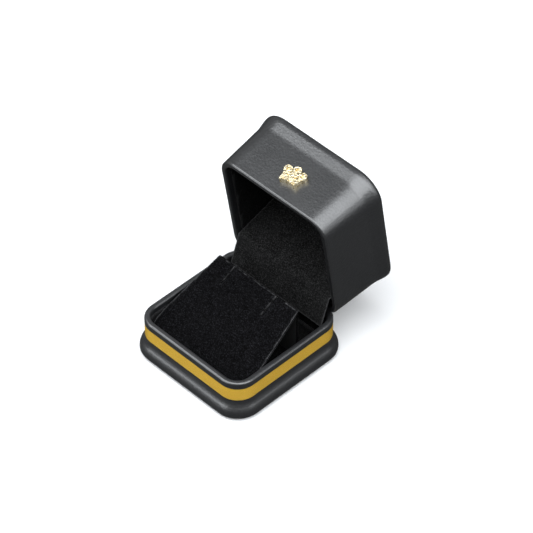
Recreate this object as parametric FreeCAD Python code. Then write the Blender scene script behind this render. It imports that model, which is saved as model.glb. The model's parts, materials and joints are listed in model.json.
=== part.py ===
import FreeCAD, Part
import math
import os

os.makedirs("parts", exist_ok=True)

V = FreeCAD.Vector

# Millimetres. Z is up, X runs along the hinge, minus Y is the front.
# The origin is the centre of the underside, on the surface that the box stands on.
# Each shape is built with the box closed, and the lid is then turned to its open rest.

# Cutting blocks run this far past what they cut, and no rounding is smaller than this
cut_reach = 1.0
least_radius = 0.1

# Plan of the box at the rim
box_width = 60.0
box_depth = 60.0
corner_radius = 9.0

# Leatherette, lining and wall thicknesses
cover_thickness = 0.5
lining_thickness = 0.5
wall_thickness = 2.75
hem_depth = 3.0
hem_gap = 0.1

# Base
sheet_thickness = 0.5
sheet_margin = 0.8
underside_turn_in = 7.0
base_height = 19.6
floor_thickness = 1.8
skirt_flare = 2.34
skirt_edge_radius = 2.2
skirt_bulge_height = 4.1
cove_height = 7.7
ogee_radius = 6.0
rim_radius = 1.0
band_bottom = 10.0
band_width = 6.6
band_thickness = 0.5
band_groove = 0.12
floor_board_thickness = 1.0
velvet_thickness = 0.5
board_clearance = 0.2

# Lid
lid_depth = 58.8
lid_gap = 0.1
lid_height = 30.5
lid_draft = 1.5
lid_shoulder_height = 8.0
lid_flare = 2.7
lid_edge_height = 2.9
lid_blend_radius = 9.0
lid_flare_radius = 4.5
lid_top_radius = 1.8
lid_top_thickness = 2.0
top_board_thickness = 1.0

# Hinge
open_angle = 81.0
hinge_setback = 2.14
hinge_rise = 0.57
hinge_length = 40.0
pin_radius = 0.4
pin_clearance = 0.05
pin_head_radius = 0.75
pin_head_length = 0.4
knuckle_radius = 0.85
knuckle_gap = 0.2
outer_knuckle_length = 8.0
leaf_thickness = 0.5
leaf_gap = 0.3
base_leaf_drop = 12.0
lid_leaf_rise = 14.0
notch_clearance = 0.4
hinge_notch_margin = 0.4
hinge_edge_trim = 0.7
relief_depth = 1.35
relief_half_length = 24.6
relief_ramp = 2.2
relief_front_gap = 0.3
cam_half_length = 3.0
cam_flat = 1.25
cam_corner = 1.5
spring_thickness = 0.3
spring_gap = 0.12
spring_width = 5.0
spring_foot = 5.0
spring_tip_rise = 1.2
spring_bend_radius = 1.2
rivet_spacing = 16.0
rivet_drop = 8.0
lid_rivet_rise = 9.0
rivet_radius = 0.8
rivet_head_radius = 1.5
rivet_head_height = 0.5
rivet_head_rounding = 0.3
rivet_clearance = 0.03
rivet_cover = 0.3

# Earring card
card_top_half_width = 22.8
card_taper_length = 29.4
card_top_y = 12.17
card_top_z = 30.9
card_slope = 27.4
card_board_thickness = 1.0
card_velvet_thickness = 0.4
card_side_gap = 0.25
card_front_gap = 0.6
card_corner_radius = 1.2
card_front_fold_radius = 1.2
card_top_fold_radius = 0.9
card_front_leg_width = 41.0
card_front_lip_depth = 3.0
slit_width = 0.5
slit_length = 9.5
slit_back_length = 3.0
slit_left_x = -13.3
slit_right_x = 10.9

# Velvet panel that hides the hinge: the upper part rides in the lid, the lower part hangs
panel_setback = 11.5
panel_lean = 9.1
panel_board_thickness = 1.0
panel_velvet_thickness = 0.5
panel_side_gap = 0.35
panel_top_gap = 0.2
crease_board_gap = 0.9
crease_velvet_gap = 0.26
flap_length = 14.0
flap_half_width = 26.5
flap_board_margin = 0.8
flap_open_angle = 51.8

# Crown ornament
crown_bottom_width = 7.6
crown_waist_width = 9.4
crown_waist_height = 5.6
crown_thickness = 2.0
crown_arch = 0.8
crown_band_width = 1.5
crown_band_relief = 0.35
crown_petal_radius = 1.9
crown_side_petal_x = 3.8
crown_side_petal_z = 5.9
crown_middle_petal_z = 7.2
crown_window_radius = 0.8
crown_window_depth = 1.1
crown_small_window_radius = 0.5
crown_small_window_x = 1.9
crown_small_window_z = 3.5
crown_bead_radius = 0.42
crown_bead_spacing = 2.5
crown_foot_rounding = 0.3
crown_shoulder_rounding = 0.5
crown_height_on_lid = 6.5
crown_offset = 3.0
crown_tilt = 5.0
crown_pin_radius = 0.6
crown_pin_spacing = 3.6
crown_pin_rise = 1.6
crown_pin_clearance = 0.05
crown_pin_end_gap = 0.1
washer_radius = 1.6
washer_thickness = 0.35
washer_pocket = 0.5
washer_pocket_clearance = 0.15

# Sizes worked out from the driving dimensions
half_width = box_width / 2
half_depth = box_depth / 2
lid_half_depth = lid_depth / 2
lid_draft_height = lid_height - lid_shoulder_height
lid_flare_height = lid_height - lid_edge_height
floor_bottom = sheet_thickness
floor_top = sheet_thickness + cover_thickness + floor_thickness
floor_board_top = floor_top + floor_board_thickness
floor_velvet_top = floor_board_top + velvet_thickness
band_top = band_bottom + band_width
core_inset = wall_thickness - cover_thickness
lid_bottom = base_height + lid_gap
hinge_y = half_depth - hinge_setback
hinge_z = lid_bottom + hinge_rise
draft_angle = math.degrees(math.atan2(lid_draft, lid_draft_height))
lid_ceiling = lid_height - cover_thickness - lid_top_thickness
card_thickness = card_board_thickness + card_velvet_thickness


def offset_path(points, distance):
    """Shift an open path of (out, up, rounding) points to its left by a distance."""
    lines = []
    for (a, b, _), (c, d, _) in zip(points, points[1:]):
        length = math.hypot(c - a, d - b)
        nx, ny = -(d - b) / length, (c - a) / length
        lines.append((a + nx * distance, b + ny * distance, c - a, d - b, nx, ny))
    shifted = [(lines[0][0], lines[0][1], 0.0)]
    for k in range(1, len(points) - 1):
        ax, ay, ux, uy = lines[k - 1][:4]
        bx, by, vx, vy = lines[k][:4]
        cross = ux * vy - uy * vx
        step = ((bx - ax) * vy - (by - ay) * vx) / cross
        rounding = points[k][2]
        if rounding > 0:
            rounding = rounding - distance if cross > 0 else rounding + distance
        shifted.append((ax + ux * step, ay + uy * step, max(rounding, 0.0)))
    end = points[-1]
    shifted.append((end[0] + lines[-1][4] * distance, end[1] + lines[-1][5] * distance, 0.0))
    return shifted


def rounded_face(points, place):
    """Face inside a closed outline of (a, b, rounding) points, placed by a function."""
    count = len(points)
    edges = []
    last = None
    first = None
    for k in range(count):
        ax, ay, _ = points[k - 1]
        bx, by, rounding = points[k]
        cx, cy, _ = points[(k + 1) % count]
        in_len = math.hypot(bx - ax, by - ay)
        out_len = math.hypot(cx - bx, cy - by)
        ux, uy = (bx - ax) / in_len, (by - ay) / in_len
        vx, vy = (cx - bx) / out_len, (cy - by) / out_len
        turn = math.atan2(ux * vy - uy * vx, ux * vx + uy * vy)
        if rounding > 1e-6 and abs(turn) > 1e-6:
            reach = rounding * math.tan(abs(turn) / 2)
            start = (bx - ux * reach, by - uy * reach)
            end = (bx + vx * reach, by + vy * reach)
            side = 1 if turn > 0 else -1
            mid_x, mid_y = bx + (vx - ux) * 0.5, by + (vy - uy) * 0.5
            centre = (start[0] - uy * rounding * side, start[1] + ux * rounding * side)
            away = math.hypot(bx - centre[0], by - centre[1])
            middle = (centre[0] + (bx - centre[0]) * rounding / away,
                      centre[1] + (by - centre[1]) * rounding / away)
            arc = Part.Arc(place(*start), place(*middle), place(*end)).toShape()
        else:
            start = end = (bx, by)
            arc = None
        if last is not None and math.dist(last, start) > 1e-6:
            edges.append(Part.LineSegment(place(*last), place(*start)).toShape())
        if first is None:
            first = start
        if arc is not None:
            edges.append(arc)
        last = end
    if math.dist(last, first) > 1e-6:
        edges.append(Part.LineSegment(place(*last), place(*first)).toShape())
    return Part.Face(Part.Wire(Part.__sortEdges__(edges)))


def ring(points, half_x=half_width, half_y=half_depth, radius=corner_radius):
    """Solid made by carrying a wall section round the rounded plan of the box."""
    section = rounded_face(points, lambda out, up: V(0, out, up))
    pieces = []
    for turn, along, reach in ((0, half_x, half_y), (90, half_y, half_x),
                               (180, half_x, half_y), (270, half_y, half_x)):
        side = section.translated(V(-(along - radius), reach, 0))
        side = side.extrude(V(2 * (along - radius), 0, 0))
        side.rotate(V(0, 0, 0), V(0, 0, 1), turn)
        pieces.append(side)
    corner_section = section.translated(V(0, radius, 0))
    corner = corner_section.revolve(V(0, 0, 0), V(0, 0, 1), 90)
    for turn, sx, sy in ((0, -1, 1), (90, -1, -1), (180, 1, -1), (270, 1, 1)):
        piece = corner.copy()
        piece.rotate(V(0, 0, 0), V(0, 0, 1), turn)
        piece.translate(V(sx * (half_x - radius), sy * (half_y - radius), 0))
        pieces.append(piece)
    return fuse(pieces)


def plate(inset, bottom, top, half_y=half_depth):
    """Flat plate with the rounded plan of the box, smaller all round by an inset."""
    half_x, half_y = half_width - inset, half_y - inset
    radius = max(corner_radius - inset, least_radius)
    outline = [(half_x, half_y, radius), (-half_x, half_y, radius),
               (-half_x, -half_y, radius), (half_x, -half_y, radius)]
    face = rounded_face(outline, lambda x, y: V(x, y, bottom))
    return face.extrude(V(0, 0, top - bottom))


def box(x0, x1, y0, y1, z0, z1):
    """Block between two corners."""
    return Part.makeBox(x1 - x0, y1 - y0, z1 - z0, V(x0, y0, z0))


def profile_block(points, x0, x1):
    """Outline of (y, z, rounding) points carried along X."""
    face = rounded_face(points, lambda y, z: V(x0, y, z))
    return face.extrude(V(x1 - x0, 0, 0))


def rod(radius, x0, x1, y, z):
    """Round bar along X."""
    return Part.makeCylinder(radius, x1 - x0, V(x0, y, z), V(1, 0, 0))


def fuse(shapes):
    """One solid from touching solids, with the seams between them removed."""
    whole = shapes[0].fuse(shapes[1:]) if len(shapes) > 1 else shapes[0]
    return whole.removeSplitter()


def section_between(outer, thickness):
    """Closed section of a skin that lies inside an open outer path."""
    return outer + offset_path(outer, thickness)[::-1]


def raise_lid(shape):
    """Turn a shape of the lid from closed to the open rest."""
    turned = shape.copy()
    turned.rotate(V(0, hinge_y, hinge_z), V(1, 0, 0), -open_angle)
    return turned


def lid_out(height):
    """How far the lid's wall stands out of the rim line at a height above the mouth."""
    return lid_draft * height / lid_draft_height


def lid_core_out(height):
    """Where the inner face of the lid's moulded wall stands from the rim line."""
    return lid_out(height) - wall_thickness + cover_thickness / math.cos(math.radians(draft_angle))


# Base

def base_path():
    """Outside of the base from its underside, over the skirt and the rim, to the hem."""
    return [(-underside_turn_in, floor_bottom, 0),
            (skirt_flare, floor_bottom, skirt_edge_radius),
            (skirt_flare, skirt_bulge_height + floor_bottom, ogee_radius),
            (0, cove_height + floor_bottom, ogee_radius),
            (0, band_bottom, 0),
            (0, band_top, 0),
            (0, base_height, rim_radius),
            (-wall_thickness, base_height, rim_radius),
            (-wall_thickness, base_height - hem_depth, 0)]


def relief_block(top):
    """Space over the rear wall for the lid's rear edge, ramped at both ends."""
    front = half_depth - wall_thickness - relief_front_gap
    inner, outer = relief_half_length, relief_half_length + relief_ramp
    high = base_height + relief_depth
    outline = [(-inner, top), (inner, top), (outer, top + relief_depth), (outer, high),
               (-outer, high), (-outer, top + relief_depth), (-inner, top)]
    face = Part.Face(Part.makePolygon([V(x, front, z) for x, z in outline]))
    return face.extrude(V(0, half_depth, 0))


def make_base_shell():
    """Moulded tray under the covers, with a lowered rear wall for the hinge."""
    outer = [point for point in base_path() if point[:2] not in ((0, band_bottom), (0, band_top))]
    core = offset_path(outer, cover_thickness)
    wall = core[:-1] + [(-core_inset, floor_top, 0), (-underside_turn_in, floor_top, 0)]
    shell = fuse([ring(wall), plate(underside_turn_in, floor_bottom, floor_top)])
    relief_top = base_height - relief_depth - cover_thickness
    shell = shell.cut(relief_block(relief_top))
    return cut_rivet_holes(shell, base_rivet_places()).removeSplitter()


def make_skirt_cover():
    """Leatherette over the flared skirt, turned in under the base."""
    return ring(section_between(base_path()[:5], cover_thickness))


def make_rim_cover():
    """Leatherette strip over the rim, dipping over the lowered rear wall."""
    path = base_path()[5:]
    cover = ring(section_between(path, cover_thickness))
    whole_wall = ring(path)
    top = base_height - relief_depth
    lowered = relief_block(top - cover_thickness).cut(relief_block(top))
    cover = cover.cut(relief_block(top)).fuse(whole_wall.common(lowered))
    front = half_depth - core_inset
    notch = box(-hinge_reach(), hinge_reach(), 0, front, 0, base_height + cut_reach)
    return cover.cut(notch).removeSplitter()


def make_gold_band():
    """Flat metallic ribbon round the base between the two covers."""
    return ring([(-band_thickness, band_bottom + band_groove, 0),
                 (0, band_bottom + band_groove, 0),
                 (0, band_top - band_groove, 0),
                 (-band_thickness, band_top - band_groove, 0)])


def make_bottom_sheet():
    """Flocked sheet glued under the base, which the box stands on."""
    return plate(sheet_margin, 0, sheet_thickness)


def make_base_lining():
    """Velvet round the inside of the base, cut away behind the hinge leaf."""
    outer = -core_inset
    inner = outer - lining_thickness
    top = base_height - hem_depth - hem_gap
    lining = ring([(inner, floor_top, 0), (outer, floor_top, 0), (outer, top, 0), (inner, top, 0)])
    front = half_depth - wall_thickness - cut_reach
    reach = hinge_length / 2 + hinge_notch_margin
    low = hinge_z - base_leaf_drop - hinge_notch_margin
    return lining.cut(box(-reach, reach, front, half_depth, low, base_height))


def make_floor_board():
    """Stiff board on the tray's floor."""
    return plate(core_inset + lining_thickness + board_clearance, floor_top, floor_board_top)


def make_floor_velvet():
    """Velvet over the floor board."""
    return plate(core_inset + lining_thickness + board_clearance, floor_board_top,
                 floor_velvet_top)


# Hinge

def hinge_reach():
    """Half length of the notch that the hinge barrel turns in."""
    return hinge_length / 2 + pin_head_length + hinge_notch_margin


def outer_knuckles():
    """X ranges of the knuckles on the base leaf."""
    half = hinge_length / 2
    return [(-half, -half + outer_knuckle_length), (half - outer_knuckle_length, half)]


def middle_knuckle():
    """X range of the knuckle on the lid leaf."""
    reach = hinge_length / 2 - outer_knuckle_length - knuckle_gap
    return (-reach, reach)


def leaf_back(height):
    """Y of the inner face of the lid's moulded rear wall at a height above the mouth."""
    return lid_half_depth + lid_core_out(height)


def base_rivet_places():
    """Axes of the rivets in the base: centre, direction into the wall."""
    y = half_depth - core_inset
    z = hinge_z - rivet_drop
    return [(V(x, y, z), V(0, 1, 0)) for x in (-rivet_spacing, 0, rivet_spacing)]


def lid_rivet_places():
    """Axes of the rivets in the lid, square to its drafted rear wall."""
    height = hinge_rise + lid_rivet_rise
    lean = math.radians(draft_angle)
    into = V(0, math.cos(lean), -math.sin(lean))
    y = leaf_back(height)
    return [(V(x, y, lid_bottom + height), into) for x in (-rivet_spacing, 0, rivet_spacing)]


def rivet_depth():
    """Length of a rivet's shank inside the wall."""
    return core_inset - cover_thickness - rivet_cover


def cut_rivet_holes(shape, places):
    """Drill a wall or a leaf for the rivets."""
    run_in = leaf_thickness + spring_thickness + cut_reach
    for centre, into in places:
        start = centre - into * run_in
        length = run_in + rivet_depth()
        shape = shape.cut(Part.makeCylinder(rivet_radius + rivet_clearance, length, start, into))
    return shape


def make_rivets(places, lifts):
    """Pan-head rivets, each head lifted by what lies under it besides the leaf."""
    rivets = []
    for (centre, into), lift in zip(places, lifts):
        under = leaf_thickness + lift
        shank = Part.makeCylinder(rivet_radius, under + rivet_depth() - rivet_cover,
                                  centre - into * under, into)
        top = centre - into * (under + rivet_head_height)
        head = Part.makeCylinder(rivet_head_radius, rivet_head_height, top, into)
        rim = [edge for edge in head.Edges if (edge.CenterOfMass - top).Length < 1e-6]
        head = head.makeFillet(rivet_head_rounding, rim)
        rivets.append(fuse([shank, head]))
    return Part.makeCompound(rivets)


def make_base_leaf():
    """Hinge leaf on the base's rear wall, with the two outer knuckles."""
    front = half_depth - core_inset - leaf_thickness
    back = half_depth - core_inset
    half = hinge_length / 2
    low = hinge_z - base_leaf_drop
    stop = hinge_z - cam_corner - leaf_gap
    pieces = [box(-half, half, front, back, low, stop)]
    for x0, x1 in outer_knuckles():
        pieces.append(box(x0, x1, front, back, stop, hinge_z))
        pieces.append(rod(knuckle_radius, x0, x1, hinge_y, hinge_z))
    leaf = fuse(pieces)
    leaf = leaf.cut(rod(pin_radius + pin_clearance, -half - cut_reach, half + cut_reach,
                        hinge_y, hinge_z))
    return cut_rivet_holes(leaf, base_rivet_places())


def make_lid_leaf():
    """Hinge leaf on the lid's rear wall, with the middle knuckle and its cam."""
    half = hinge_length / 2
    low = hinge_rise + knuckle_radius + leaf_gap
    high = hinge_rise + lid_leaf_rise
    x0, x1 = middle_knuckle()

    def slab(bottom, top):
        lower, upper = leaf_back(bottom), leaf_back(top)
        return [(lower - leaf_thickness, lid_bottom + bottom, 0), (lower, lid_bottom + bottom, 0),
                (upper, lid_bottom + top, 0), (upper - leaf_thickness, lid_bottom + top, 0)]

    pieces = [profile_block(slab(low, high), -half, half),
              profile_block(slab(hinge_rise, low), x0, x1),
              rod(knuckle_radius, x0, x1, hinge_y, hinge_z),
              make_cam()]
    leaf = fuse(pieces)
    leaf = leaf.cut(rod(pin_radius + pin_clearance, -half - cut_reach, half + cut_reach,
                        hinge_y, hinge_z))
    return cut_rivet_holes(leaf, lid_rivet_places())


def make_cam():
    """Lobe on the barrel with one flat for the closed lid and one for the open lid."""
    cam = rod(cam_corner, -cam_half_length, cam_half_length, hinge_y, hinge_z)
    size = 4 * cam_corner
    block = box(-size, size, hinge_y - cam_flat, hinge_y, hinge_z - size, hinge_z + size)
    cam = cam.common(block)
    other = box(-size, size, hinge_y - cam_flat, hinge_y + size, hinge_z - size, hinge_z + size)
    other.rotate(V(0, hinge_y, hinge_z), V(1, 0, 0), open_angle)
    cam = cam.common(other)
    keep = box(-size, size, hinge_y - size, hinge_y + knuckle_radius / 2,
               hinge_z - size, hinge_z + knuckle_radius)
    return cam.common(keep)


def make_pin():
    """Hinge pin with a peened head at each end."""
    half = hinge_length / 2
    parts = [rod(pin_radius, -half, half, hinge_y, hinge_z)]
    for x0 in (-half - pin_head_length, half):
        parts.append(rod(pin_head_radius, x0, x0 + pin_head_length, hinge_y, hinge_z))
    return fuse(parts)


def make_spring():
    """Leaf spring under the middle rivet, its tip standing in front of the cam."""
    back = half_depth - core_inset - leaf_thickness
    tip_back = hinge_y - cam_corner - spring_gap
    low = hinge_z - rivet_drop - spring_foot / 2
    bend = hinge_z - rivet_drop + spring_foot / 2
    high = hinge_z - cam_corner
    top = hinge_z + spring_tip_rise
    outer_bend = spring_bend_radius + spring_thickness
    strip = profile_block([(back - spring_thickness, low, 0), (back, low, 0),
                           (back, bend, outer_bend), (tip_back, high, spring_bend_radius),
                           (tip_back, top, 0), (tip_back - spring_thickness, top, 0),
                           (tip_back - spring_thickness, high, outer_bend),
                           (back - spring_thickness, bend, spring_bend_radius)],
                          -spring_width / 2, spring_width / 2)
    return cut_rivet_holes(strip, base_rivet_places())


# Earring card

def card_front():
    """Y of the card's front leg."""
    return -(half_depth - wall_thickness - card_front_gap)


def card_front_z():
    """Height of the fold where the card's face meets its front leg."""
    return card_top_z - (card_top_y - card_front()) * math.tan(math.radians(card_slope))


def card_plan(inset):
    """Plan of the card: tapered towards its top edge and rounded to fit the base."""
    side = half_width - wall_thickness - card_side_gap - inset
    front = card_front() + inset
    top = card_top_y - inset
    half = card_top_half_width - inset
    wide_y = card_top_y - card_taper_length
    bend = corner_radius - wall_thickness - card_side_gap - inset
    rounding = max(card_corner_radius - inset, least_radius)
    return [(half, top, rounding), (-half, top, rounding), (-side, wide_y, 0),
            (-side, front, bend), (side, front, bend), (side, wide_y, 0)]


def card_strip(inset, thickness):
    """Bent strip seen from the side: front leg, sloping face, rear leg."""
    path = [(card_top_y, floor_velvet_top, 0), (card_top_y, card_top_z, card_top_fold_radius),
            (card_front(), card_front_z(), card_front_fold_radius),
            (card_front(), floor_velvet_top, 0)]
    near = offset_path(path, inset) if inset else path
    far = offset_path(path, inset + thickness)
    return near + far[::-1]


def card_blank(inset, thickness):
    """Bent strip trimmed to the card's plan."""
    strip = profile_block(card_strip(inset, thickness), -half_width, half_width)
    plan = rounded_face(card_plan(inset), lambda x, y: V(x, y, 0))
    blank = strip.common(plan.extrude(V(0, 0, card_top_z + cut_reach)))
    front = card_front()
    leg_half = card_front_leg_width / 2 - inset
    leg_top = card_front_z() - card_front_lip_depth
    for side in (-1, 1):
        x0, x1 = sorted((side * leg_half, side * half_width))
        corner = box(x0, x1, front - cut_reach, front + corner_radius, 0, leg_top)
        blank = blank.cut(corner)
    return blank


def cut_slits(shape):
    """Two slits for earring hooks, over the top edge and a little down the rear leg."""
    slope = math.radians(card_slope)
    for x in (slit_left_x, slit_right_x):
        drop = slit_length * math.tan(slope)
        low = card_top_z - drop - 2 * card_thickness
        high = card_top_z + cut_reach
        x0, x1 = x - slit_width / 2, x + slit_width / 2
        face = box(x0, x1, card_top_y - slit_length, card_top_y - 2 * card_thickness, low, high)
        rear = box(x0, x1, card_top_y - 3 * card_thickness, card_top_y + cut_reach,
                   card_top_z - slit_back_length, high)
        shape = shape.cut(face.fuse(rear))
    return shape


def make_card():
    """Board core and the velvet that wraps its outer faces and edges."""
    board = card_blank(card_velvet_thickness, card_board_thickness)
    whole = card_blank(0, card_thickness)
    velvet = whole.cut(board)
    return cut_slits(board), cut_slits(velvet)


# Velvet panel and flap

def crease_point():
    """Y and Z of the crease line on the panel's velvet, with the lid closed."""
    return lid_half_depth - panel_setback, lid_bottom


def panel_slab(from_face, thickness, start, end, half):
    """Slab beside the panel's face; start and end are measured up from the crease."""
    y, z = crease_point()
    lean = math.radians(panel_lean)
    up = (-math.sin(lean), math.cos(lean))
    back = (math.cos(lean), math.sin(lean))
    corners = []
    for along, deep in ((start, from_face), (end, from_face),
                        (end, from_face + thickness), (start, from_face + thickness)):
        corners.append((y + up[0] * along + back[0] * deep, z + up[1] * along + back[1] * deep, 0))
    return profile_block(corners[::-1], -half, half)


def panel_length():
    """Length of the lid's panel from the crease to the board in the lid's top."""
    top = lid_ceiling - top_board_thickness - velvet_thickness
    lean = math.radians(panel_lean)
    thickness = panel_board_thickness + panel_velvet_thickness
    return (top - panel_top_gap - thickness * math.sin(lean)) / math.cos(lean)


def make_panel():
    """Board and velvet of the part of the panel that is fixed in the lid."""
    half = half_width - wall_thickness - panel_side_gap
    board = panel_slab(panel_velvet_thickness, panel_board_thickness,
                       crease_board_gap, panel_length(), half)
    velvet = panel_slab(0, panel_velvet_thickness, crease_velvet_gap, panel_length(), half)
    return board, velvet


def bend_flap(shape):
    """Fold the flap from straight below the panel to its angle with the lid open."""
    y, z = crease_point()
    shape.rotate(V(0, y, z), V(1, 0, 0), flap_open_angle)
    return shape


def make_flap():
    """Board and velvet of the flap that hangs from the crease into the base."""
    board = panel_slab(panel_velvet_thickness, panel_board_thickness,
                       -flap_length, -crease_board_gap, flap_half_width - flap_board_margin)
    velvet = panel_slab(0, panel_velvet_thickness, -flap_length, -crease_velvet_gap,
                        flap_half_width)
    return bend_flap(board), bend_flap(velvet)


# Lid

def lid_path():
    """Outside of the lid from its inner hem, round the mouth and up over the flare."""
    start = -wall_thickness + lid_out(hem_depth)
    points = [(start, hem_depth, 0),
              (-wall_thickness, 0, rim_radius),
              (0, 0, rim_radius),
              (lid_draft, lid_draft_height, lid_blend_radius),
              (lid_flare, lid_flare_height, lid_flare_radius),
              (lid_flare, lid_height, lid_top_radius),
              (-underside_turn_in, lid_height, 0)]
    return [(out, lid_bottom + up, rounding) for out, up, rounding in points]


def notch_block(front, back, top):
    """Space in the lid's rear wall for the barrel, from the mouth up."""
    reach = hinge_reach()
    return box(-reach, reach, front, back, lid_bottom - cut_reach, lid_bottom + top)


def notch_top():
    """Height of the barrel notch above the mouth."""
    return hinge_rise + knuckle_radius + notch_clearance


def make_lid_shell():
    """Moulded lid under the cover, notched for the barrel and drilled for the crown."""
    core = offset_path(lid_path(), cover_thickness)
    inner_top = lid_core_out(lid_ceiling)
    wall = core[1:] + [(-underside_turn_in, lid_bottom + lid_ceiling, 0),
                       (inner_top, lid_bottom + lid_ceiling, 0)]
    centre = plate(underside_turn_in, lid_bottom + lid_ceiling,
                   lid_bottom + lid_height - cover_thickness, lid_half_depth)
    shell = fuse([ring(wall, half_y=lid_half_depth), centre])
    shell = shell.cut(notch_block(0, lid_half_depth, notch_top()))
    shell = cut_rivet_holes(shell, lid_rivet_places())
    return cut_crown_holes(shell, True).removeSplitter()


def make_lid_cover():
    """Leatherette over the whole outside of the lid, turned in at the mouth."""
    cover = ring(section_between(lid_path(), cover_thickness), half_y=lid_half_depth)
    centre = plate(underside_turn_in, lid_bottom + lid_height - cover_thickness,
                   lid_bottom + lid_height, lid_half_depth)
    cover = fuse([cover, centre])
    cover = cover.cut(notch_block(0, lid_half_depth - cover_thickness, hem_depth + cut_reach))
    cover = cover.cut(notch_block(0, half_depth, hinge_edge_trim))
    return cut_crown_holes(cover, False).removeSplitter()


def make_lid_lining():
    """Velvet round the inside of the lid, cut away behind the hinge leaf."""
    low = hem_depth + hem_gap
    outer_low, outer_high = lid_core_out(low), lid_core_out(lid_ceiling)
    lining = ring([(outer_low - lining_thickness, lid_bottom + low, 0),
                   (outer_low, lid_bottom + low, 0),
                   (outer_high, lid_bottom + lid_ceiling, 0),
                   (outer_high - lining_thickness, lid_bottom + lid_ceiling, 0)],
                  half_y=lid_half_depth)
    reach = hinge_length / 2 + hinge_notch_margin
    top = lid_bottom + hinge_rise + lid_leaf_rise + hinge_notch_margin
    front = lid_half_depth - wall_thickness - cut_reach
    return lining.cut(box(-reach, reach, front, lid_half_depth + lid_flare, 0, top))


def top_board_inset():
    """How far the board in the lid's ceiling keeps inside the rim line."""
    lowest = lid_ceiling - top_board_thickness - velvet_thickness
    return core_inset + lining_thickness + board_clearance - lid_out(lowest)


def make_top_board():
    """Board against the lid's ceiling."""
    high = lid_bottom + lid_ceiling
    return plate(top_board_inset(), high - top_board_thickness, high, lid_half_depth)


def make_top_velvet():
    """Velvet under the board in the lid's ceiling."""
    high = lid_bottom + lid_ceiling - top_board_thickness
    return plate(top_board_inset(), high - velvet_thickness, high, lid_half_depth)


# Crown ornament

def to_front_wall(shape):
    """Move a shape built on the XZ plane to the crown's place on the lid's drafted wall."""
    shape.rotate(V(0, 0, 0), V(0, 1, 0), -crown_tilt)
    shape.rotate(V(0, 0, 0), V(1, 0, 0), draft_angle)
    shape.translate(V(crown_offset, -lid_half_depth - lid_out(crown_height_on_lid),
                      lid_bottom + crown_height_on_lid))
    return shape


def crown_pin_places():
    """X and height above the crown's foot of its two pins."""
    return [(side * crown_pin_spacing / 2, crown_pin_rise) for side in (-1, 1)]


def cut_crown_holes(shape, pocket):
    """Holes for the crown's pins, with pockets inside for the washers if asked."""
    for x, rise in crown_pin_places():
        hole = crown_disc(crown_pin_radius + crown_pin_clearance, x, rise,
                          -cut_reach, wall_thickness + cut_reach)
        shape = shape.cut(to_front_wall(hole))
        if pocket:
            sunk = crown_disc(washer_radius + washer_pocket_clearance, x, rise,
                              core_inset - washer_pocket, wall_thickness + cut_reach)
            shape = shape.cut(to_front_wall(sunk))
    return shape


def crown_disc(radius, x, z, near, far):
    """Round disc facing the front, between two depths behind the crown's face."""
    return Part.makeCylinder(radius, far - near, V(x, near, z), V(0, 1, 0))


def crown_petals():
    """Centres of the crown's three petals."""
    return [(-crown_side_petal_x, crown_side_petal_z), (0, crown_middle_petal_z),
            (crown_side_petal_x, crown_side_petal_z)]


def make_crown():
    """Cast coronet with an arched foot, three pierced petals, a beaded band and two pins."""
    foot, waist = crown_bottom_width / 2, crown_waist_width / 2
    outline = [(-foot, 0, crown_foot_rounding), (foot, 0, crown_foot_rounding),
               (waist, crown_waist_height, crown_shoulder_rounding),
               (-waist, crown_waist_height, crown_shoulder_rounding)]
    arch_radius = (foot ** 2 + crown_arch ** 2) / (2 * crown_arch)
    arch_z = crown_arch - arch_radius

    def slab(depth):
        return rounded_face(outline, lambda x, z: V(x, -depth, z)).extrude(V(0, depth, 0))

    pieces = [slab(crown_thickness)]
    for x, z in crown_petals():
        pieces.append(crown_disc(crown_petal_radius, x, z, -crown_thickness, 0))
    raised = crown_thickness + crown_band_relief
    band = slab(raised).common(crown_disc(arch_radius + crown_band_width, 0, arch_z, -raised, 0))
    pieces.append(band)
    crown = fuse(pieces).cut(crown_disc(arch_radius, 0, arch_z, -raised - cut_reach, cut_reach))
    window_floor = crown_window_depth - raised
    for x, z in crown_petals():
        crown = crown.cut(crown_disc(crown_window_radius, x, z, -raised, window_floor))
    for x in (-crown_small_window_x, crown_small_window_x):
        crown = crown.cut(crown_disc(crown_small_window_radius, x, crown_small_window_z,
                                     -raised, window_floor))
    for x in (-crown_bead_spacing, 0, crown_bead_spacing):
        z = arch_z + math.sqrt((arch_radius + crown_band_width / 2) ** 2 - x ** 2)
        crown = crown.fuse(Part.makeSphere(crown_bead_radius, V(x, -raised, z)))
    pins = []
    for x, rise in crown_pin_places():
        pins.append(crown_disc(crown_pin_radius, x, rise, -crown_thickness / 2,
                               core_inset - crown_pin_end_gap))
    crown = crown.fuse(pins).removeSplitter()
    return to_front_wall(crown)


def make_washers():
    """Push-on washers that hold the crown's pins, sunk in the lid's wall."""
    washers = []
    for x, rise in crown_pin_places():
        near = core_inset - washer_pocket
        disc = crown_disc(washer_radius, x, rise, near, near + washer_thickness)
        hole = crown_disc(crown_pin_radius, x, rise, near, near + washer_thickness)
        washers.append(to_front_wall(disc.cut(hole)))
    return Part.makeCompound(washers)


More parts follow.
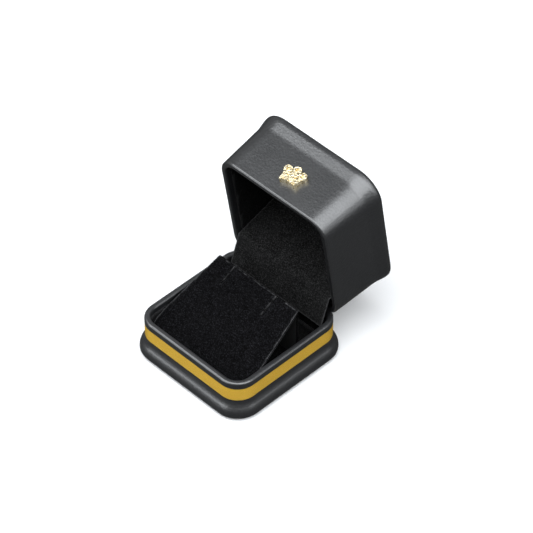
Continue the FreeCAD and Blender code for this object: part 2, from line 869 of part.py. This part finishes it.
def build():
    """All nodes by name, in the open rest position."""
    card_board, card_velvet = make_card()
    panel_board, panel_velvet = make_panel()
    flap_board, flap_velvet = make_flap()
    fixed = {
        "base_shell": make_base_shell(),
        "base_skirt_cover": make_skirt_cover(),
        "base_rim_cover": make_rim_cover(),
        "gold_band": make_gold_band(),
        "bottom_sheet": make_bottom_sheet(),
        "base_lining": make_base_lining(),
        "floor_board": make_floor_board(),
        "floor_velvet": make_floor_velvet(),
        "hinge_base_leaf": make_base_leaf(),
        "hinge_pin": make_pin(),
        "hinge_snap_spring": make_spring(),
        "hinge_base_rivets": make_rivets(base_rivet_places(), (0, spring_thickness, 0)),
        "card_board": card_board,
        "card_velvet": card_velvet,
    }
    turning = {
        "lid_shell": make_lid_shell(),
        "lid_cover": make_lid_cover(),
        "lid_lining": make_lid_lining(),
        "lid_top_board": make_top_board(),
        "lid_top_velvet": make_top_velvet(),
        "hinge_lid_leaf": make_lid_leaf(),
        "hinge_lid_rivets": make_rivets(lid_rivet_places(), (0, 0, 0)),
        "crown": make_crown(),
        "crown_washers": make_washers(),
        "lid_panel_board": panel_board,
        "lid_panel_velvet": panel_velvet,
        "flap_board": flap_board,
        "flap_velvet": flap_velvet,
    }
    nodes = dict(fixed)
    for name, shape in turning.items():
        nodes[name] = raise_lid(shape)
    return nodes


if __name__ == "__main__":
    for name, shape in build().items():
        shape.exportStep("parts/" + name + ".step")
        centre = shape.BoundBox.Center
        print(name, len(shape.Solids), shape.isValid(), round(shape.Volume, 2),
              [round(v, 2) for v in (centre.x, centre.y, centre.z)])
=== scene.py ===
import json
import math

import bmesh
import bpy
from mathutils import Matrix, Vector, kdtree, noise


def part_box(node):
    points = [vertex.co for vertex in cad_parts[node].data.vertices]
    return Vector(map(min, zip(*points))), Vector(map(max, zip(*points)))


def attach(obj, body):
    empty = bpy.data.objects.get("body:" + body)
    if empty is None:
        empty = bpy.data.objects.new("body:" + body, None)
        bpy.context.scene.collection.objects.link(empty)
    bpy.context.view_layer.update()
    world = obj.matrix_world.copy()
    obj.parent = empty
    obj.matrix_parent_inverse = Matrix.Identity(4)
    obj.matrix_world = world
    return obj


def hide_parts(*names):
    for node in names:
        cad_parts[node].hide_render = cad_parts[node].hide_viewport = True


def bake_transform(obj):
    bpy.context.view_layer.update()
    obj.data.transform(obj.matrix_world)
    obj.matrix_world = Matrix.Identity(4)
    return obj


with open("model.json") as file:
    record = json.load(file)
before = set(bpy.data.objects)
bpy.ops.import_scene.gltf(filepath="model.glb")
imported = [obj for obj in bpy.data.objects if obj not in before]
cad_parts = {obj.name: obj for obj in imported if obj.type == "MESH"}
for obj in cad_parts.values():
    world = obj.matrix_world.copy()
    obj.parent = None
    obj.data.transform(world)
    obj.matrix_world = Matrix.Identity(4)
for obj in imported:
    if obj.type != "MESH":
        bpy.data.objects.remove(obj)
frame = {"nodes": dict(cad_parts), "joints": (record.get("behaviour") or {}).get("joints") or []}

MM = 0.001
nodes = frame["nodes"]
joints = {joint["name"]: joint for joint in frame["joints"]}
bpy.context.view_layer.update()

# Camera, fitted to the edges of the box in the photo, in degrees and millimetres
camera_azimuth = 45.672
camera_elevation = 44.660
camera_roll = -0.290
camera_distance = 1347.9
camera_target = (-12.49, 28.23, 19.34)
camera_lens = 219.2
camera_sensor = 36.0

# Nearest and farthest distance that the camera sees, in metres
camera_near = 0.01
camera_far = 20.0

# Room and floor
world_strength = 0.25
world_tint = (0.97, 0.985, 1.0)
floor_tone = 0.93
floor_bounce = 0.06
floor_reach = 3.0

# Lamps: name, place in metres, tilt and turn in degrees, width and depth in metres, watts
lamp_tint = (0.94, 0.97, 1.0)
lamps = (
    ("overhead_softbox", (0.5, -0.16, 0.85), 0, 22, 2.3, 0.95, 22.0),
    ("left_softbox", (-0.6, -0.27, 0.85), 0, 0, 0.55, 0.42, 3.0),
    ("front_fill", (-0.5, -1.2, 0.45), 70, -22, 1.3, 0.8, 7.0),
    ("right_fill", (1.2, 0.5, 0.5), 65, 67, 1.0, 0.7, 2.2),
)

# Colours; where there are two, from dark to light
leather_colours = ((0.0055, 0.0058, 0.0065), (0.011, 0.0115, 0.0125))
ribbon_colours = ((0.72, 0.38, 0.020), (1.0, 0.66, 0.075))
gilt_colours = ((0.55, 0.42, 0.2), (0.97, 0.86, 0.60))
plastic_colours = ((0.022, 0.022, 0.024), (0.034, 0.034, 0.036))
hinge_steel_colour = (0.60, 0.60, 0.61)
spring_steel_colour = (0.42, 0.44, 0.48)
# Painted sheen on velvet where it turns over an edge or lines a slit
painted_edge_sheen_colour = (0.10, 0.10, 0.102)
sheen_tint = (0.75, 0.76, 0.8)

# Colours of velvets and boards, from dark to light, and of the flecks in them
card_pile = ((0.0003, 0.0003, 0.0003), (0.0022, 0.0022, 0.0023), (0.015, 0.015, 0.017))
panel_pile = ((0.0016, 0.0016, 0.0016), (0.0105, 0.0105, 0.0105), (0.034, 0.034, 0.034))
lining_pile = ((0.001, 0.001, 0.001), (0.005, 0.005, 0.005), (0.02, 0.02, 0.02))
flock_pile = ((0.006, 0.006, 0.006), (0.02, 0.02, 0.02), (0.05, 0.05, 0.05))
greyboard_colours = ((0.25, 0.24, 0.22), (0.40, 0.38, 0.35), (0.12, 0.11, 0.10))
black_board_colours = ((0.008, 0.008, 0.008), (0.02, 0.02, 0.02), (0.035, 0.035, 0.035))

# Panel and flap of the hinge cover, in millimetres and degrees
panel_lean = 9.1
panel_half_width = 26.9
flap_half_width = 26.5
panel_length = 26.1
flap_length = 14.0
panel_velvet_thickness = 0.5
panel_net_step = 0.8
panel_columns = 68
panel_rim_angle = 60.0
crease_radius = 1.0
crease_steps = 8

# Ribbon round the base, in millimetres and degrees
ribbon_half_plan = 30.0
ribbon_corner_radius = 9.0
ribbon_bottom = 10.12
ribbon_top = 16.48
ribbon_thickness = 0.5
ribbon_crown = 0.05
ribbon_edge_power = 6
ribbon_lap = 7.0
ribbon_lap_rise = 0.12
ribbon_lap_steps = 6
ribbon_rows = 9
ribbon_corner_steps = 14
ribbon_side_steps = 16
ribbon_split_angle = 50.0

# Velvet pile and its net, in millimetres and degrees; the painted sheen along edges is a share
# from 0 to 1
pile_height = 0.05
pile_patch = 0.9
pile_edge_reach = 0.26
pile_edge_spacing = 0.25
pile_edge_angle = 35.0
velvet_rounding = 0.13
card_net_step = 0.8
lining_net_step = 2.0
flat_angle = 1.5
weld_distance = 0.001
slice_tolerance = 0.0005
hidden_leg = 1.6
slit_places = (-13.3, 10.9)
slit_reach = 0.6
# Painted sheen beside each slit, strong on its far side and faint on its near side, and in dashes
# along the card's top
slit_near_sheen = 0.1
slit_far_sheen = 0.9
crest_sheen = 0.55
crest_depth = 0.06
sheen_dash_patch = 1.1
sheen_dash_share = 0.3
sheen_dash_swing = 1.7


class Graph:
    """Nodes of one material."""

    def __init__(self, name):
        self.material = bpy.data.materials.new(name)
        self.material.use_nodes = True
        self.tree = self.material.node_tree
        self.tree.nodes.clear()
        self.shader = self.add("ShaderNodeBsdfPrincipled")
        output = self.add("ShaderNodeOutputMaterial")
        self.tree.links.new(self.shader.outputs[0], output.inputs["Surface"])

    def put(self, socket, value):
        """Link a socket into another, or set its value."""
        if isinstance(value, bpy.types.NodeSocket):
            self.tree.links.new(value, socket)
        elif socket.type == "RGBA":
            socket.default_value = (*value, 1.0)
        else:
            socket.default_value = value

    def fill(self, node, inputs):
        for key, value in inputs.items():
            self.put(node.inputs[key.replace("_", " ")], value)

    def add(self, kind, settings=None, **inputs):
        node = self.tree.nodes.new(kind)
        for key, value in (settings or {}).items():
            setattr(node, key, value)
        self.fill(node, inputs)
        return node

    def surface(self, **inputs):
        self.fill(self.shader, inputs)

    def place(self, stretch=(1, 1, 1)):
        """Coordinates on the object in millimetres."""
        coordinates = self.add("ShaderNodeTexCoord")
        mapping = self.add("ShaderNodeMapping", Vector=coordinates.outputs["Object"],
                           Scale=[value / MM for value in stretch])
        return mapping.outputs[0]

    def along(self):
        """Coordinates that were stored on the mesh, in millimetres."""
        return self.add("ShaderNodeTexCoord").outputs["UV"]

    def noise(self, place, scale, detail=2.0, roughness=0.5):
        texture = self.add("ShaderNodeTexNoise", Vector=place, Scale=scale, Detail=detail,
                           Roughness=roughness)
        return texture.outputs["Fac"]

    def cells(self, place, scale):
        texture = self.add("ShaderNodeTexVoronoi", {"feature": "F1"}, Vector=place, Scale=scale)
        return texture.outputs["Distance"]

    def waves(self, place, direction, scale, distortion):
        texture = self.add("ShaderNodeTexWave", {"bands_direction": direction}, Vector=place,
                           Scale=scale, Distortion=distortion, Detail=1.0)
        return texture.outputs["Fac"]

    def ramp(self, value, start, dark, end, light):
        """Colour that runs from dark at one value to light at another."""
        ramp = self.add("ShaderNodeValToRGB", Fac=value)
        stops = ((start, dark), (end, light))
        for element, (position, colour) in zip(ramp.color_ramp.elements, stops):
            element.position = position
            element.color = (*colour, 1.0)
        return ramp.outputs["Color"]

    def spread(self, value, low, high, start=0.0, end=1.0):
        """Number that runs from low to high while the value runs from start to end."""
        node = self.add("ShaderNodeMapRange")
        for socket, number in zip(node.inputs, (value, start, end, low, high)):
            self.put(socket, number)
        return node.outputs[0]

    def math(self, operation, first, second):
        node = self.add("ShaderNodeMath", {"operation": operation})
        for socket, value in zip(node.inputs, (first, second)):
            self.put(socket, value)
        return node.outputs[0]

    def total(self, *parts):
        """Sum of values, each times its weight."""
        weighed = [self.math("MULTIPLY", value, weight) for value, weight in parts]
        result = weighed[0]
        for value in weighed[1:]:
            result = self.math("ADD", result, value)
        return result

    def blend(self, share, first, second):
        """Colour between two colours or sockets."""
        node = self.add("ShaderNodeMix", {"data_type": "RGBA"})
        mixed = [socket for socket in node.inputs if socket.type == "RGBA"]
        self.put(node.inputs[0], share)
        self.put(mixed[0], first)
        self.put(mixed[1], second)
        return node.outputs[2]

    def bump(self, height, depth, strength=1.0, normal=None):
        """Bump whose height of 1 stands out by a depth in millimetres."""
        node = self.add("ShaderNodeBump", Height=height, Distance=depth * MM, Strength=strength)
        if normal is not None:
            self.put(node.inputs["Normal"], normal)
        return node.outputs[0]


# Materials

def leatherette():
    """Black coated cloth with a fine pebble grain and a soft sheen."""
    graph = Graph("leatherette")
    place = graph.place()
    pebbles = graph.cells(place, scale=0.95)
    pores = graph.noise(place, scale=1.7, detail=4.0, roughness=0.65)
    drift = graph.noise(place, scale=0.09)
    height = graph.total((pebbles, 0.6), (pores, 0.5))
    grain = graph.bump(height, depth=0.11, strength=0.9)
    waves = graph.bump(drift, depth=0.35, strength=0.35, normal=grain)
    dark, light = leather_colours
    wear = graph.total((drift, 0.5), (pores, 0.5))
    graph.surface(Base_Color=graph.ramp(height, 0.25, dark, 0.75, light),
                  Roughness=graph.spread(wear, low=0.34, high=0.46, start=0.3, end=0.7),
                  Specular_IOR_Level=1.0, Coat_Weight=1.0, Coat_Roughness=0.24, Normal=waves)
    return graph.material


def velvet(name, pile, sheen):
    """Short pile with lighter flecks, and a painted sheen that pales it along its edges."""
    graph = Graph(name)
    dark, light, fleck = pile
    place = graph.place()
    tufts = graph.noise(place, scale=2.1, detail=4.0, roughness=0.7)
    strokes = graph.noise(graph.place((0.35, 0.35, 0.35)), scale=0.55)
    fibres = graph.noise(place, scale=1.9, detail=3.0, roughness=0.85)
    body = graph.ramp(graph.total((tufts, 0.65), (strokes, 0.35)), 0.36, dark, 0.64, light)
    flecks = graph.spread(fibres, low=0.0, high=1.0, start=0.50, end=0.64)
    speckled = graph.blend(flecks, body, fleck)
    # Painted sheen: the pile is paler near edges, broken into dashes by the tufts
    painted_edge_sheen = graph.add("ShaderNodeAttribute", {"attribute_name": "painted_edge_sheen"}).outputs["Fac"]
    broken = graph.spread(tufts, low=0.25, high=1.0, start=0.4, end=0.6)
    colour = graph.blend(graph.math("MULTIPLY", painted_edge_sheen, broken), speckled, painted_edge_sheen_colour)
    height = graph.total((fibres, 0.5), (tufts, 1.0))
    graph.surface(Base_Color=colour, Roughness=0.95, Specular_IOR_Level=0.03,
                  Sheen_Weight=sheen, Sheen_Roughness=0.45, Sheen_Tint=sheen_tint,
                  Normal=graph.bump(height, depth=0.12, strength=0.8))
    return graph.material


def ribbon_cloth():
    """Metallic gold ribbon: fine threads along it, faint cross ribs and a silky sheen."""
    graph = Graph("gold_ribbon")
    along = graph.along()
    ribs = graph.waves(along, "X", scale=0.85, distortion=0.6)
    threads = graph.waves(along, "Y", scale=0.6, distortion=0.25)
    glints = graph.noise(along, scale=2.6, detail=3.0, roughness=0.7)
    height = graph.total((ribs, 0.15), (threads, 1.0), (glints, 0.5))
    shade = graph.total((glints, 0.7), (threads, 0.3))
    dark, light = ribbon_colours
    graph.surface(Base_Color=graph.ramp(shade, 0.3, dark, 0.7, light), Metallic=0.35,
                  Roughness=graph.spread(glints, low=0.30, high=0.48, start=0.3, end=0.7),
                  Normal=graph.bump(height, depth=0.22, strength=0.9))
    return graph.material


def gilt():
    """Polished gilt casting with slight ripples."""
    graph = Graph("gilt_casting")
    ripples = graph.noise(graph.place(), scale=1.1, detail=3.0)
    dark, light = gilt_colours
    graph.surface(Base_Color=graph.ramp(ripples, 0.34, dark, 0.58, light), Metallic=1.0,
                  Roughness=graph.spread(ripples, low=0.22, high=0.4),
                  Normal=graph.bump(ripples, depth=0.6))
    return graph.material


def steel(name, colour, dullest):
    """Plated sheet steel with fine drawn lines along the hinge."""
    graph = Graph(name)
    lines = graph.noise(graph.place((0.05, 1.0, 1.0)), scale=6.0, detail=3.0)
    blotches = graph.noise(graph.place(), scale=0.4)
    dark = tuple(0.8 * value for value in colour)
    graph.surface(Base_Color=graph.ramp(blotches, 0.3, dark, 0.7, colour), Metallic=1.0,
                  Roughness=graph.spread(lines, low=0.22, high=dullest),
                  Normal=graph.bump(lines, depth=0.02, strength=0.4))
    return graph.material


def board(name, colours):
    """Board with mixed fibres and specks."""
    graph = Graph(name)
    dark, light, speck = colours
    place = graph.place()
    fibres = graph.noise(place, scale=1.7, detail=5.0, roughness=0.75)
    specks = graph.spread(graph.noise(place, scale=4.5), low=0.0, high=1.0, start=0.66, end=0.72)
    colour = graph.blend(specks, graph.ramp(fibres, 0.3, dark, 0.7, light), speck)
    graph.surface(Base_Color=colour, Roughness=0.9,
                  Normal=graph.bump(fibres, depth=0.06, strength=0.6))
    return graph.material


def moulding():
    """Black moulded plastic with a light spark-eroded texture."""
    graph = Graph("moulded_shell")
    texture = graph.noise(graph.place(), scale=3.0, detail=4.0, roughness=0.6)
    dark, light = plastic_colours
    graph.surface(Base_Color=graph.ramp(texture, 0.3, dark, 0.7, light),
                  Roughness=graph.spread(texture, low=0.5, high=0.7),
                  Normal=graph.bump(texture, depth=0.03, strength=0.5))
    return graph.material


# Meshes

def add_object(name, data):
    made = bpy.data.objects.new(name, data)
    bpy.context.scene.collection.objects.link(made)
    return made


def add_mesh(name, net, material):
    """Turn a finished net of faces into an object with smooth shading."""
    mesh = bpy.data.meshes.new(name)
    net.to_mesh(mesh)
    net.free()
    for polygon in mesh.polygons:
        polygon.use_smooth = True
    mesh.materials.append(material)
    return add_object(name, mesh)


def round_edges(net, edges):
    """Give edges of a velvet the soft rounding of its pile."""
    bmesh.ops.bevel(net, geom=edges, offset=velvet_rounding * MM, segments=2, affect="EDGES",
                    profile=0.5, clamp_overlap=True)


def dashes(point):
    """Share from 0 to 1 that comes and goes along an edge."""
    swing = noise.noise(point / (sheen_dash_patch * MM))
    return min(1.0, max(0.0, sheen_dash_share + sheen_dash_swing * swing))


def mark_painted_sheen(mesh, edge_points, slits=(), crest=None):
    """Store on each vertex how much painted sheen the velvet shows there: near its edges, along
    one side of each slit, and in dashes above the height of a crest."""
    tree = kdtree.KDTree(len(edge_points))
    for index, point in enumerate(edge_points):
        tree.insert(point, index)
    tree.balance()
    attribute = mesh.attributes.new("painted_edge_sheen", "FLOAT", "POINT")
    reach = pile_edge_reach * MM
    for vertex in mesh.vertices:
        distance = tree.find(vertex.co)[2]
        painted_sheen = max(0.0, 1.0 - distance / reach)
        for x in slits:
            if abs(vertex.co.x - x * MM) < slit_reach * MM:
                painted_sheen *= slit_far_sheen if vertex.co.x < x * MM else slit_near_sheen
                painted_sheen *= dashes(vertex.co)
        if crest is not None and vertex.co.z > crest:
            painted_sheen = crest_sheen * dashes(vertex.co)
        attribute.data[vertex.index].value = painted_sheen


def ruffle(mesh):
    """Stand the surface out unevenly, as brushed pile does."""
    normals = [vertex.normal.copy() for vertex in mesh.vertices]
    for vertex, normal in zip(mesh.vertices, normals):
        lift = noise.fractal(vertex.co / (pile_patch * MM), 1.0, 2.0, 3)
        vertex.co += normal * lift * pile_height * MM


def sheen_edge_points(edges, high):
    """Points along the edges that get the painted sheen, without those at the rear well below the
    top.
    """
    found = []
    for edge in edges:
        start, end = edge.verts[0].co, edge.verts[1].co
        count = max(1, int((end - start).length / (pile_edge_spacing * MM)))
        for k in range(count + 1):
            point = start.lerp(end, k / count)
            if point.y < high[1] - hidden_leg * MM or point.z > high[2] - hidden_leg * MM:
                found.append(point)
    return found


def slice_net(net, low, high, step):
    """Cut the faces by planes across each axis, so that the pile has vertices to move."""
    for axis in range(3):
        direction = Vector([float(axis == other) for other in range(3)])
        count = int((high[axis] - low[axis]) / (step * MM))
        for k in range(1, count + 1):
            geometry = net.verts[:] + net.edges[:] + net.faces[:]
            bmesh.ops.bisect_plane(net, geom=geometry, dist=slice_tolerance * MM,
                                   plane_co=direction * (low[axis] + k * step * MM),
                                   plane_no=direction)
    bmesh.ops.triangulate(net, faces=[face for face in net.faces if len(face.verts) > 4])


def velvet_skin(name, node, body, step, material, slits=()):
    """Soft copy of a velvet solid: rounded edges, a fine net of faces and an uneven pile."""
    net = bmesh.new()
    net.from_mesh(nodes[node].data)
    bmesh.ops.remove_doubles(net, verts=net.verts, dist=weld_distance * MM)
    bmesh.ops.dissolve_limit(net, angle_limit=math.radians(flat_angle), verts=net.verts,
                             edges=net.edges)
    sharp = [edge for edge in net.edges if len(edge.link_faces) == 2
             and edge.calc_face_angle() > math.radians(pile_edge_angle)]
    low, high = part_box(node)
    edge_points = sheen_edge_points(sharp, high)
    round_edges(net, sharp)
    slice_net(net, low, high, step)
    made = add_mesh(name, net, material)
    mark_painted_sheen(made.data, edge_points, slits, high[2] - crest_depth * MM if slits else None)
    ruffle(made.data)
    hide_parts(node)
    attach(made, body)
    return made


def turned(y, z, degrees):
    """A direction in the YZ plane turned about +X."""
    angle = math.radians(degrees)
    return Vector((0.0, y * math.cos(angle) - z * math.sin(angle),
                   y * math.sin(angle) + z * math.cos(angle)))


def crease_frame():
    """Crease point, the panel's direction away from it, and the flap's, with the lid open."""
    crease = Vector(joints["flap_crease"]["pos_m"])
    open_angle = joints["lid_hinge"]["range_deg"][1]
    fold = -joints["flap_crease"]["range_deg"][0]
    lean = math.radians(panel_lean)
    up = (-math.sin(lean), math.cos(lean))
    panel = turned(up[0], up[1], -open_angle)
    flap = turned(-up[0], -up[1], fold - open_angle)
    return crease, panel, flap


def panel_line():
    """Points of the sheet's front face from the panel's far end, over the crease, to the
    flap's lower end, each with its outward direction and half width."""
    crease, panel, flap = crease_frame()
    panel_out = Vector((0.0, -panel.z, panel.y))
    flap_out = Vector((0.0, flap.z, -flap.y))
    turn = panel_out.angle(flap_out)
    reach = crease_radius * math.tan(turn / 2)
    centre = crease + (panel * reach - panel_out * crease_radius) * MM
    points = []
    count = int((panel_length - reach) / panel_net_step)
    for k in range(count + 1):
        along = panel_length + (reach - panel_length) * k / count
        points.append((crease + panel * along * MM, panel_out, panel_half_width))
    for k in range(1, crease_steps):
        share = k / crease_steps
        out = panel_out.slerp(flap_out, share)
        width = panel_half_width + (flap_half_width - panel_half_width) * share
        points.append((centre + out * crease_radius * MM, out, width))
    count = int((flap_length - reach) / panel_net_step)
    for k in range(count + 1):
        along = reach + (flap_length - reach) * k / count
        points.append((crease + flap * along * MM, flap_out, flap_half_width))
    return points


def outline(rows):
    """Vertices round the edge of a grid of rows."""
    return (rows[0] + [row[-1] for row in rows[1:-1]] + rows[-1][::-1]
            + [row[0] for row in rows[-2:0:-1]])


def velvet_panel(material):
    """Velvet of the panel and the flap as one sheet that bends at the crease."""
    net = bmesh.new()
    front, back = [], []
    for point, out, width in panel_line():
        for rows, deep in ((front, 0.0), (back, panel_velvet_thickness)):
            row = []
            for k in range(panel_columns + 1):
                x = width * (2 * k / panel_columns - 1) * MM
                row.append(net.verts.new(point - out * deep * MM + Vector((x, 0, 0))))
            rows.append(row)
    for rows in (front, back):
        for first, second in zip(rows, rows[1:]):
            for k in range(panel_columns):
                corners = (first[k], first[k + 1], second[k + 1], second[k])
                net.faces.new(corners if rows is back else corners[::-1])
    loop_front, loop_back = outline(front), outline(back)
    edge_points = [vertex.co.copy() for vertex in loop_front]
    for k in range(len(loop_front)):
        j = (k + 1) % len(loop_front)
        net.faces.new((loop_front[k], loop_front[j], loop_back[j], loop_back[k]))
    bmesh.ops.recalc_face_normals(net, faces=net.faces)
    round_edges(net, [edge for edge in net.edges
                      if edge.calc_face_angle() > math.radians(panel_rim_angle)])
    made = add_mesh("velvet_panel", net, material)
    mark_painted_sheen(made.data, edge_points)
    ruffle(made.data)
    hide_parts("lid_panel_velvet", "flap_velvet")
    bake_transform(made)
    return made


def plan_path(half, radius):
    """Rounded square from the middle of the rear side round to it again, as points with their
    outward directions."""
    straight = half - radius
    sides = (((0.0, half), (straight, half), (0, 1)),
             ((half, straight), (half, -straight), (1, 0)),
             ((straight, -half), (-straight, -half), (0, -1)),
             ((-half, -straight), (-half, straight), (-1, 0)),
             ((-straight, half), (0.0, half), (0, 1)))
    corners = ((1, 1, 90), (1, -1, 0), (-1, -1, -90), (-1, 1, -180))
    points = []
    for side, ((ax, ay), (bx, by), out) in enumerate(sides):
        for k in range(ribbon_side_steps):
            share = k / ribbon_side_steps
            points.append((ax + (bx - ax) * share, ay + (by - ay) * share, out))
        if side < len(corners):
            sx, sy, first = corners[side]
            for k in range(ribbon_corner_steps):
                angle = math.radians(first - 90 * k / ribbon_corner_steps)
                turn = (math.cos(angle), math.sin(angle))
                points.append((sx * straight + radius * turn[0],
                               sy * straight + radius * turn[1], turn))
    points.append((0.0, half, (0, 1)))
    return points


def ribbon_section(rise):
    """Section of the ribbon as depths and heights: its crowned face, then its flat back."""
    section = []
    for k in range(ribbon_rows + 1):
        share = k / ribbon_rows
        edge = 1.0 - (2 * share - 1) ** ribbon_edge_power
        section.append((ribbon_crown * edge - ribbon_crown + rise,
                        ribbon_bottom + (ribbon_top - ribbon_bottom) * share))
    inner = ribbon_crown / 2 if rise else ribbon_thickness - ribbon_crown
    return section + [(-inner, ribbon_top), (-inner, ribbon_bottom)]


def ribbon(material):
    """Ribbon wrapped once round the base, its free end lapped over its start at the rear."""
    path = [(*point, 0.0) for point in plan_path(ribbon_half_plan, ribbon_corner_radius)]
    path += [(ribbon_lap * k / ribbon_lap_steps, ribbon_half_plan, (0, 1), ribbon_lap_rise)
             for k in range(1, ribbon_lap_steps + 1)]
    net = bmesh.new()
    layer = net.loops.layers.uv.new("UVMap")
    travelled = 0.0
    last_x, last_y = path[0][:2]
    rings = []
    for x, y, out, rise in path:
        travelled += math.hypot(x - last_x, y - last_y)
        last_x, last_y = x, y
        ring = []
        for deep, z in ribbon_section(rise):
            vertex = net.verts.new(((x + out[0] * deep) * MM, (y + out[1] * deep) * MM, z * MM))
            ring.append((vertex, (travelled, z)))
        rings.append(ring)
    for first, second in zip(rings, rings[1:]):
        for k in range(len(first)):
            j = (k + 1) % len(first)
            quad = (first[k], first[j], second[j], second[k])
            face = net.faces.new([vertex for vertex, _ in quad])
            for loop, (_, unrolled) in zip(face.loops, quad):
                loop[layer].uv = unrolled
    for ring in (rings[0], rings[-1]):
        net.faces.new([vertex for vertex, _ in ring])
    bmesh.ops.recalc_face_normals(net, faces=net.faces)
    made = add_mesh("ribbon", net, material)
    made.modifiers.new("edges", "EDGE_SPLIT").split_angle = math.radians(ribbon_split_angle)
    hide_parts("gold_band")
    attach(made, "base")
    return made


def dress_nodes():
    """Give each CAD node that stays its finish."""
    finishes = {
        leatherette(): ("base_skirt_cover", "base_rim_cover", "lid_cover"),
        steel("hinge_steel", hinge_steel_colour, 0.42): (
            "hinge_base_leaf", "hinge_pin", "hinge_base_rivets", "hinge_lid_leaf",
            "hinge_lid_rivets"),
        steel("spring_steel", spring_steel_colour, 0.36): ("hinge_snap_spring", "crown_washers"),
        board("greyboard", greyboard_colours): ("floor_board", "lid_top_board"),
        board("black_board", black_board_colours): ("card_board", "lid_panel_board",
                                                    "flap_board"),
        moulding(): ("base_shell", "lid_shell"),
        gilt(): ("crown",),
        velvet("flocked_sheet", flock_pile, sheen=0.2): ("bottom_sheet",),
    }
    for material, names in finishes.items():
        for name in names:
            mesh = nodes[name].data
            mesh.materials.clear()
            mesh.materials.append(material)


def make_velvets():
    """Velvets of the card, the tray, the lid and the panel."""
    card_finish = velvet("card_velvet", card_pile, sheen=0.0)
    panel_finish = velvet("panel_velvet", panel_pile, sheen=0.0)
    lining = velvet("lining_velvet", lining_pile, sheen=0.03)
    card = velvet_skin("card_wrap", "card_velvet", "card", card_net_step, card_finish, slit_places)
    tray = velvet_skin("tray_lining", "base_lining", "base", lining_net_step, lining)
    floor = velvet_skin("tray_floor_velvet", "floor_velvet", "base", lining_net_step, lining)
    wall = velvet_skin("lid_wall_lining", "lid_lining", "lid", lining_net_step, lining)
    ceiling = velvet_skin("lid_ceiling_velvet", "lid_top_velvet", "lid", lining_net_step, lining)
    panel = velvet_panel(panel_finish)


# Setting

def view_directions():
    """Right, up and back of the camera."""
    azimuth, elevation = math.radians(camera_azimuth), math.radians(camera_elevation)
    back = Vector((math.sin(azimuth) * math.cos(elevation),
                   -math.cos(azimuth) * math.cos(elevation), math.sin(elevation)))
    right = Vector((math.cos(azimuth), math.sin(azimuth), 0.0))
    up = back.cross(right)
    roll = math.radians(camera_roll)
    rolled_right = right * math.cos(roll) + up * math.sin(roll)
    rolled_up = up * math.cos(roll) - right * math.sin(roll)
    return rolled_right, rolled_up, back


def make_camera():
    right, up, back = view_directions()
    data = bpy.data.cameras.new("camera")
    data.lens = camera_lens
    data.sensor_width = camera_sensor
    data.clip_start = camera_near
    data.clip_end = camera_far
    camera = add_object("camera", data)
    place = (Vector(camera_target) + back * camera_distance) * MM
    facing = Matrix((right, up, back)).transposed().to_4x4()
    camera.matrix_world = Matrix.Translation(place) @ facing
    bpy.context.scene.camera = camera


def make_softbox(name, place, tilt, turn, width, depth, power):
    """Oval softbox that faces down, tilted about X and then turned about Z."""
    data = bpy.data.lights.new(name, "AREA")
    data.shape = "ELLIPSE"
    data.size = width
    data.size_y = depth
    data.energy = power
    data.color = lamp_tint
    lamp = add_object(name, data)
    lamp.matrix_world = (Matrix.Translation(place)
                         @ Matrix.Rotation(math.radians(turn), 4, "Z")
                         @ Matrix.Rotation(math.radians(tilt), 4, "X"))


def make_floor():
    """Pale floor for the camera, which sends little light back up to the box."""
    graph = Graph("floor")
    mottle = graph.noise(graph.place(), scale=0.02)
    seen = graph.ramp(mottle, 0.3, (floor_tone,) * 3, 0.7, (floor_tone + 0.01,) * 3)
    rays = graph.add("ShaderNodeLightPath")
    colour = graph.blend(rays.outputs["Is Camera Ray"], (floor_bounce,) * 3, seen)
    graph.surface(Base_Color=colour, Roughness=1.0, Specular_IOR_Level=0.0)
    corners = [(x * floor_reach, y * floor_reach, 0)
               for x, y in ((-1, -1), (1, -1), (1, 1), (-1, 1))]
    mesh = bpy.data.meshes.new("floor")
    mesh.from_pydata(corners, [], [(0, 1, 2, 3)])
    mesh.materials.append(graph.material)
    add_object("floor", mesh)


def make_world():
    """Soft surrounding light; the camera sees plain white beyond the floor."""
    world = bpy.data.worlds.new("world")
    world.use_nodes = True
    tree = world.node_tree
    tree.nodes.clear()
    room = tree.nodes.new("ShaderNodeBackground")
    room.inputs["Strength"].default_value = world_strength
    room.inputs["Color"].default_value = (*world_tint, 1.0)
    white = tree.nodes.new("ShaderNodeBackground")
    white.inputs["Strength"].default_value = 1.0
    rays = tree.nodes.new("ShaderNodeLightPath")
    mix = tree.nodes.new("ShaderNodeMixShader")
    output = tree.nodes.new("ShaderNodeOutputWorld")
    tree.links.new(rays.outputs["Is Camera Ray"], mix.inputs[0])
    tree.links.new(room.outputs[0], mix.inputs[1])
    tree.links.new(white.outputs[0], mix.inputs[2])
    tree.links.new(mix.outputs[0], output.inputs["Surface"])
    bpy.context.scene.world = world


dress_nodes()
make_velvets()
ribbon(ribbon_cloth())

make_camera()
make_floor()
make_world()
for lamp in lamps:
    make_softbox(*lamp)
bpy.context.scene.view_settings.view_transform = "Standard"
